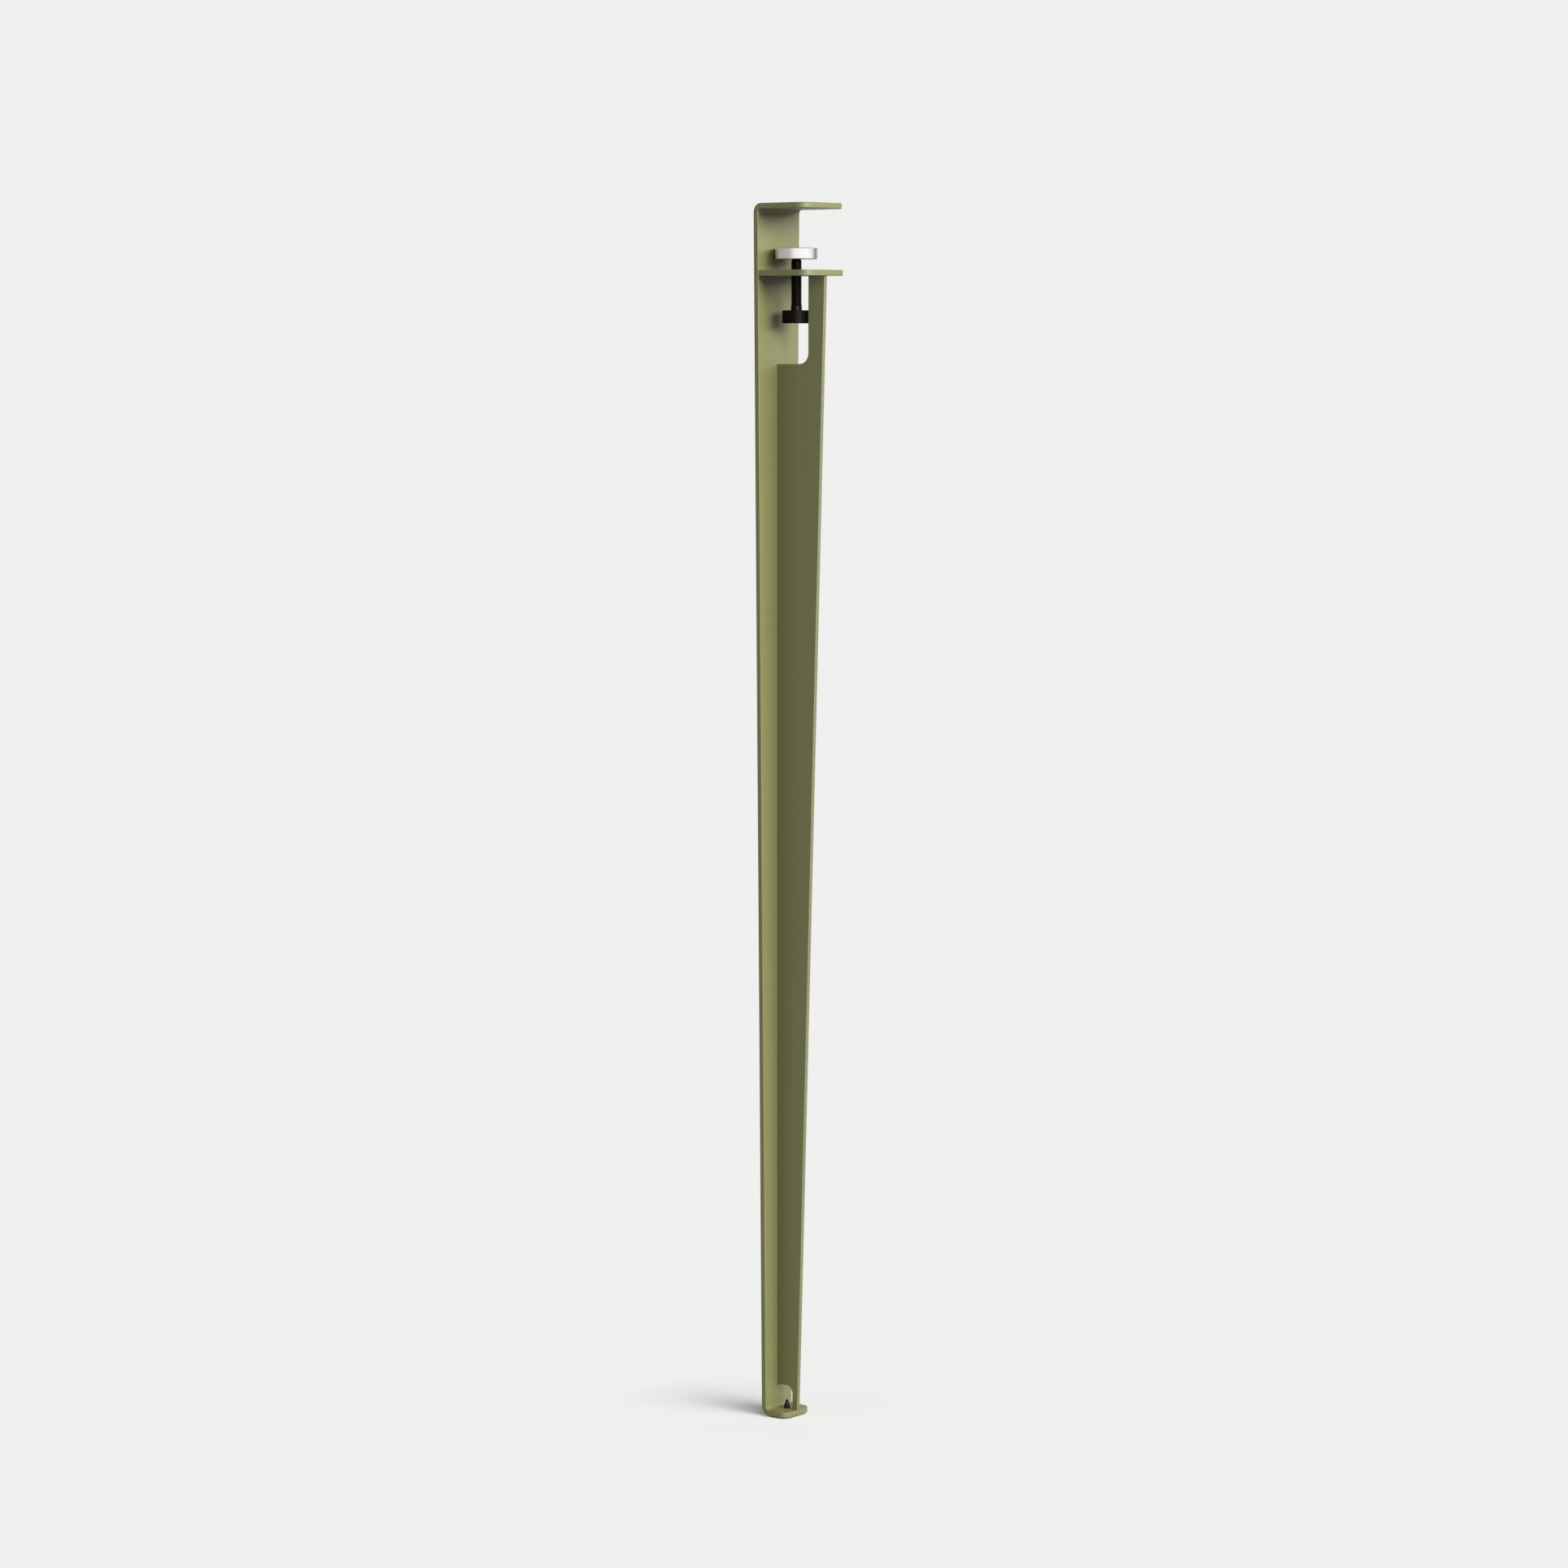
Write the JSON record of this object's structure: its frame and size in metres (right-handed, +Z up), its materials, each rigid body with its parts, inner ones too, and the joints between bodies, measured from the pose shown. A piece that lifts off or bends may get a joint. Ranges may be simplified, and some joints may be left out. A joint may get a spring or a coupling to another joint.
{
  "type": "clamp-on table leg",
  "caption": "Tall tapering T-section steel leg with a folded jaw on top, a screw and a round pad that clamp it to a table top from below, and a small glide under its folded foot.",
  "frame": {"origin": "on the floor, on the axis of the glide's stud, in the leg's plane of symmetry", "axes": "+Z up the leg, +X from the spine towards the free ends of the jaw and the shelf, Y across the leg"},
  "size_m": [0.061, 0.06, 1.1],
  "materials": {
    "coating": "satin olive green powder coat",
    "black_steel": "blackened",
    "turned_aluminium": "fine turned",
    "spring_steel": "drawn wire",
    "black_nylon": "moulded"
  },
  "bodies": {
    "leg": {"spine": "coating", "web": "coating", "shelf": "coating", "foot_glide": "black_nylon"},
    "pad": {"pressure_disc": "turned_aluminium", "disc_snap_ring": "spring_steel"},
    "screw": {"clamp_screw": "black_steel", "hand_knob": "black_steel"}
  },
  "joints": [
    {"name": "clamp_travel", "type": "slide", "parent": "leg", "child": "pad", "axis": [0, 0, 1], "range_m": [-0.0096, 0.0267]},
    {"name": "screw_turn", "type": "hinge", "parent": "pad", "child": "screw", "pos_m": [0.0105, 0, 1], "axis": [0, 0, 1], "range_deg": [-2304, 6408]}
  ],
  "couplings": [
    {"joint": "screw_turn", "follows": "clamp_travel", "rad_per_m": 4188.8}
  ]
}
